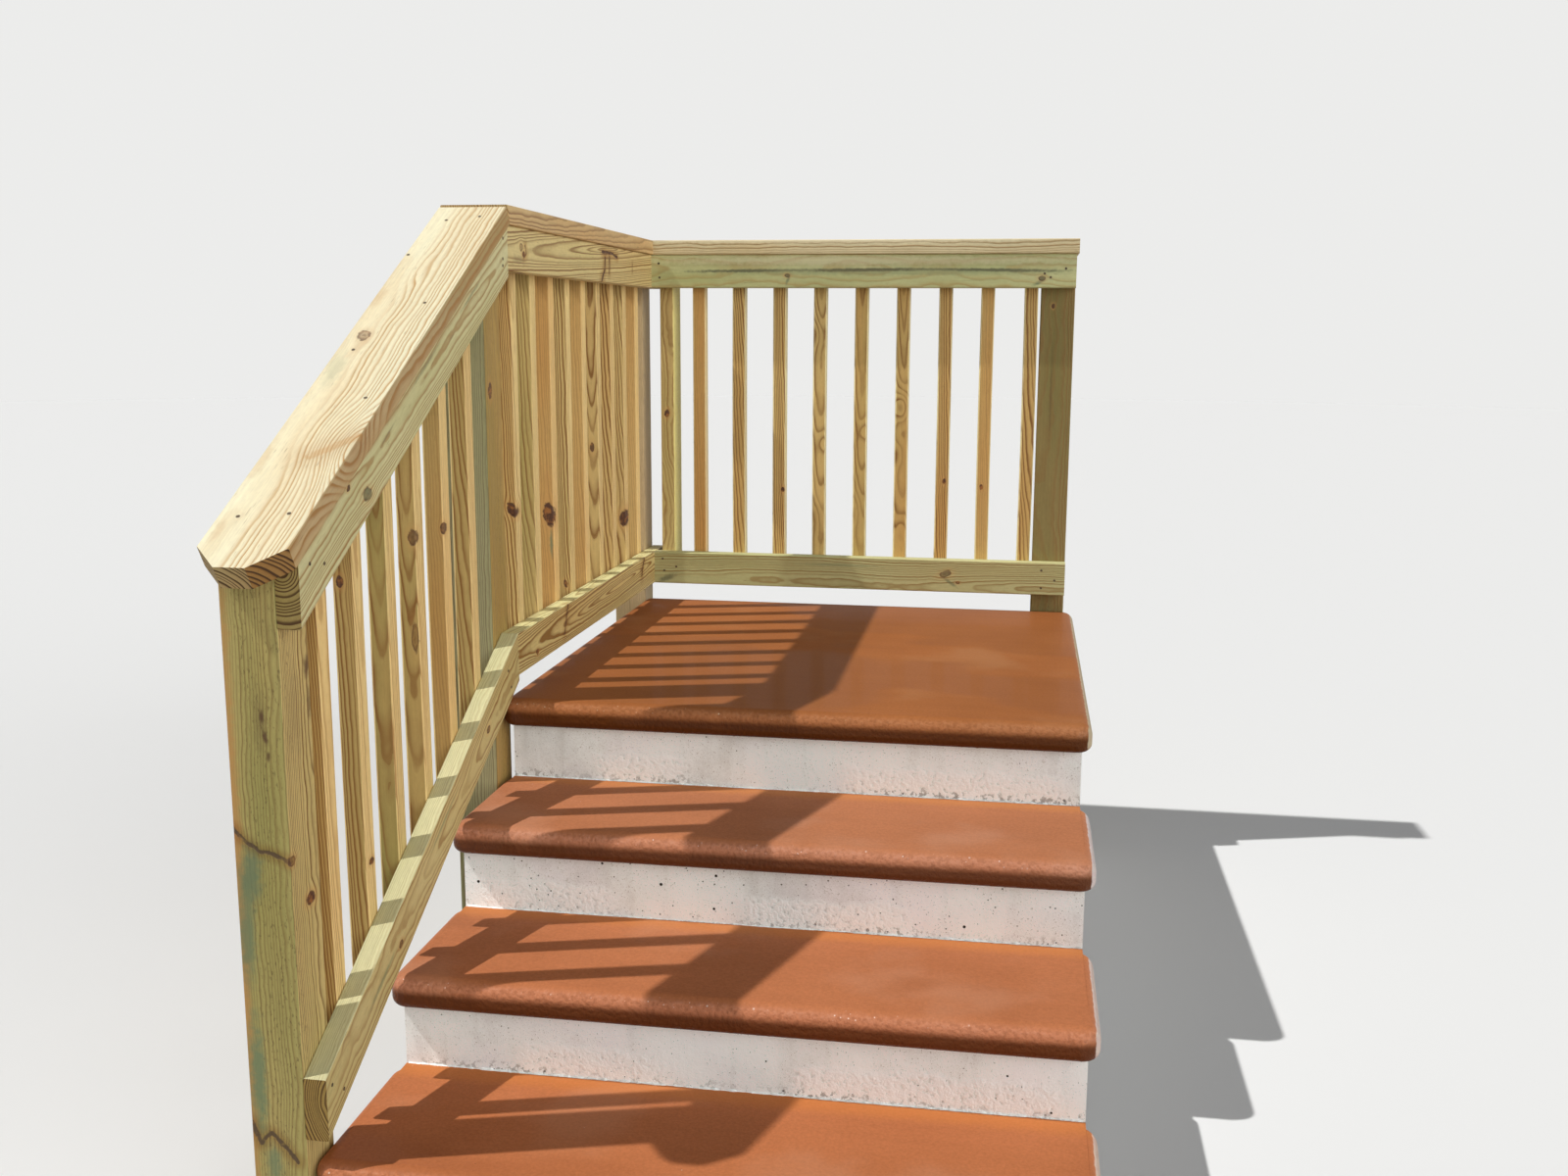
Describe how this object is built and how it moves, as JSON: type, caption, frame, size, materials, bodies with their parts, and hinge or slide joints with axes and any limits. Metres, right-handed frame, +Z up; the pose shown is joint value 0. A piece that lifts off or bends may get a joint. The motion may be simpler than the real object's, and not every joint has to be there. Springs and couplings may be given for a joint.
{
  "type": "concrete entry steps with a wooden railing",
  "caption": "Painted concrete steps rising to a square landing, with a timber post, rail and baluster guard along one side and across the back.",
  "frame": {"origin": "on the ground, below the middle of the whole part", "axes": "+Z up, +Y the way the flight climbs, +X across the flight from the railing towards the open side"},
  "size_m": [1.3086, 2.2796, 1.6885],
  "materials": {
    "tread_paint": "wet terracotta masonry paint, glossy",
    "riser_paint": "weathered white masonry paint, matt, with small open pores",
    "bare_concrete": "bare cast concrete, matt",
    "post_pine": "new pressure-treated pine, planed, greenish",
    "rail_pine": "new pressure-treated pine, planed",
    "cap_pine": "new pressure-treated pine, planed, pale",
    "baluster_pine": "new pressure-treated pine, planed"
  },
  "bodies": {
    "root": {"landing": "tread_paint", "tread_1": "tread_paint", "tread_2": "tread_paint", "tread_3": "tread_paint", "riser_1": "riser_paint", "riser_2": "riser_paint", "riser_3": "riser_paint", "riser_4": "riser_paint", "left_wall": "bare_concrete", "right_wall": "bare_concrete", "back_wall": "bare_concrete", "newel_post": "post_pine", "stair_head_post": "post_pine", "corner_post": "post_pine", "house_side_post": "post_pine", "corner_stud": "post_pine", "stair_top_rail": "rail_pine", "stair_bottom_rail": "rail_pine", "side_top_rail": "rail_pine", "side_bottom_rail": "rail_pine", "back_top_rail": "rail_pine", "back_bottom_rail": "rail_pine", "stair_cap": "cap_pine", "side_cap": "cap_pine", "back_cap": "cap_pine", "stair_balusters": "baluster_pine", "side_balusters": "baluster_pine", "back_balusters": "baluster_pine"}
  },
  "joints": []
}
